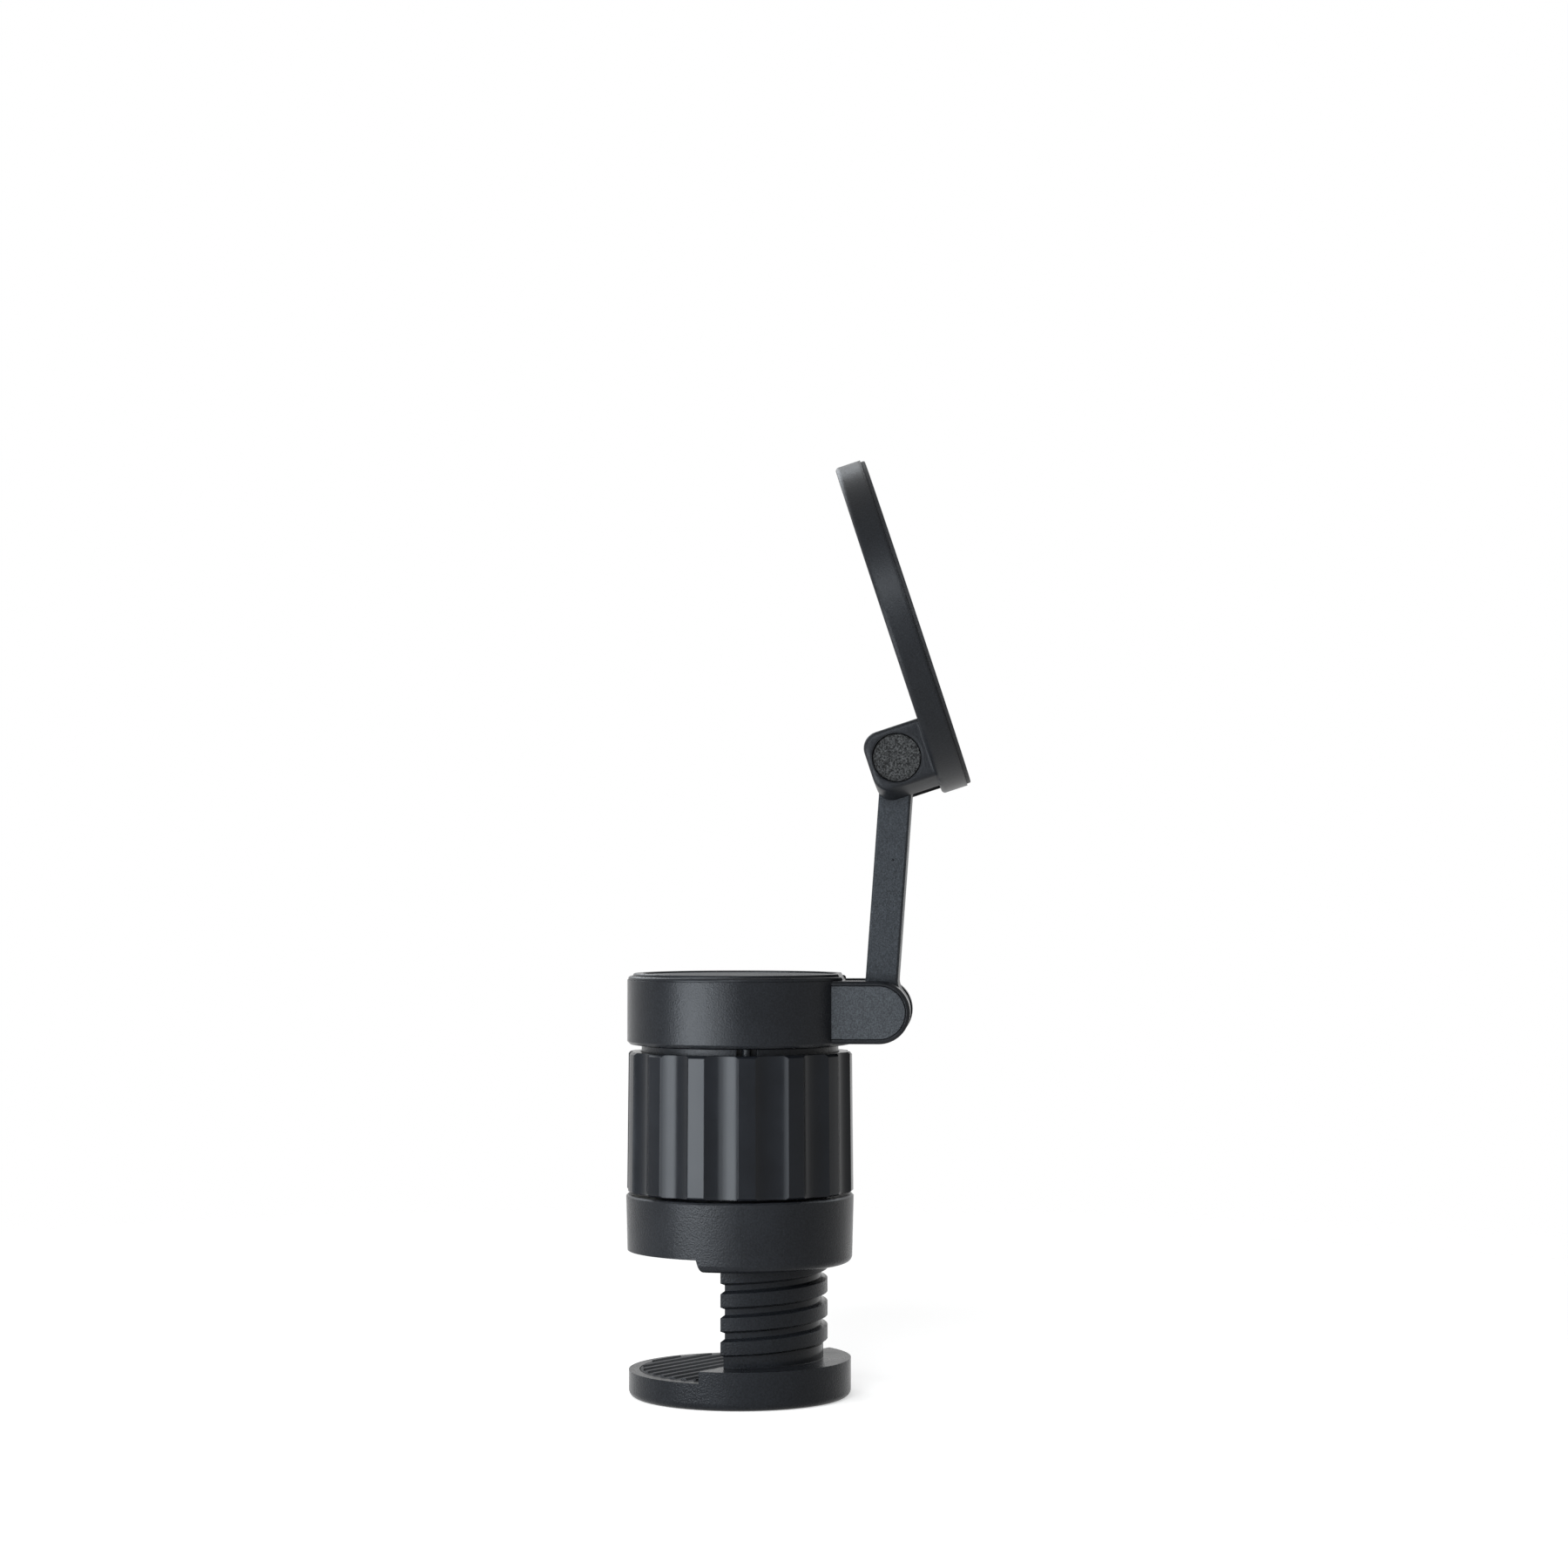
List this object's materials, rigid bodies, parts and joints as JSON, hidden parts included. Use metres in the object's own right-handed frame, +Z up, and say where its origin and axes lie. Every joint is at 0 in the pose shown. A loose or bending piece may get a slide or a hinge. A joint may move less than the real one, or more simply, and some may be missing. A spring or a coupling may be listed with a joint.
{
  "type": "magnetic phone holder",
  "caption": "Desk-clamp phone holder: fluted clamp knob, swivelling hub, hinged arm and a round magnetic disc that a phone sticks to.",
  "frame": {"origin": "on the clamp axis, in the upper jaw's clamping face, where the top of the desk lies", "axes": "+Z up along the clamp axis, +Y into the desk, +X along its edge"},
  "size_m": [0.0583, 0.0597, 0.1525],
  "materials": {
    "body": "fine matte grain",
    "jaw": "fine matte grain, glossier thread roots",
    "knob": "satin",
    "hub": "fine matte grain",
    "cover": "fine matte grain",
    "inlay": "coarse grain",
    "arm": "leather-like moulded grain",
    "disc": "fine matte grain",
    "front_pad": "soft matte silicone",
    "cap": "granular matte",
    "grip": "soft matte silicone",
    "washer": "smooth",
    "magnet": "nickel plated",
    "steel": "plated"
  },
  "bodies": {
    "root": {"upper_jaw": "body", "upper_jaw_pad": "grip", "swivel_plate": "body", "plate_screws": "steel", "swivel_spring": "steel", "swivel_retainer": "steel", "swivel_screw": "steel"},
    "knob": {"knob": "knob"},
    "lower_jaw": {"lower_jaw": "jaw", "lower_jaw_pad": "grip"},
    "hub": {"hub": "hub", "hub_cover": "cover", "cover_inlay": "inlay", "near_ear_plate": "inlay", "far_ear_plate": "inlay", "lower_hinge_pin": "steel", "lower_hinge_nut": "steel"},
    "arm": {"arm": "arm", "lower_hinge_washers": "washer", "upper_hinge_washers": "washer"},
    "disc": {"disc_shell": "disc", "front_pad": "front_pad", "magnet_yoke": "steel", "magnet_ring": "magnet", "upper_hinge_pin": "steel", "upper_hinge_nut": "steel", "near_hinge_cap": "cap", "far_hinge_cap": "cap"}
  },
  "joints": [
    {"name": "knob_turn", "type": "hinge", "parent": "root", "child": "knob", "pos_m": [0, 0, 0.02], "axis": [0, 0, 1], "range_deg": [-757.9, 757.9]},
    {"name": "jaw_slide", "type": "slide", "parent": "root", "child": "lower_jaw", "axis": [0, 0, -1], "range_m": [-0.008, 0.008]},
    {"name": "hub_swivel", "type": "hinge", "parent": "root", "child": "hub", "pos_m": [0, 0, 0.0348], "axis": [0, 0, 1], "continuous": true},
    {"name": "arm_fold", "type": "hinge", "parent": "hub", "child": "arm", "pos_m": [0.01283, -0.01909, 0.03885], "axis": [0.83, 0.5577, 0], "range_deg": [-30, 90]},
    {"name": "disc_tilt", "type": "hinge", "parent": "arm", "child": "disc", "pos_m": [0.0145, -0.02158, 0.0797], "axis": [0.83, 0.5577, 0], "range_deg": [-95, 40]}
  ],
  "couplings": [
    {"joint": "knob_turn", "follows": "jaw_slide", "rad_per_m": 1653.5}
  ]
}
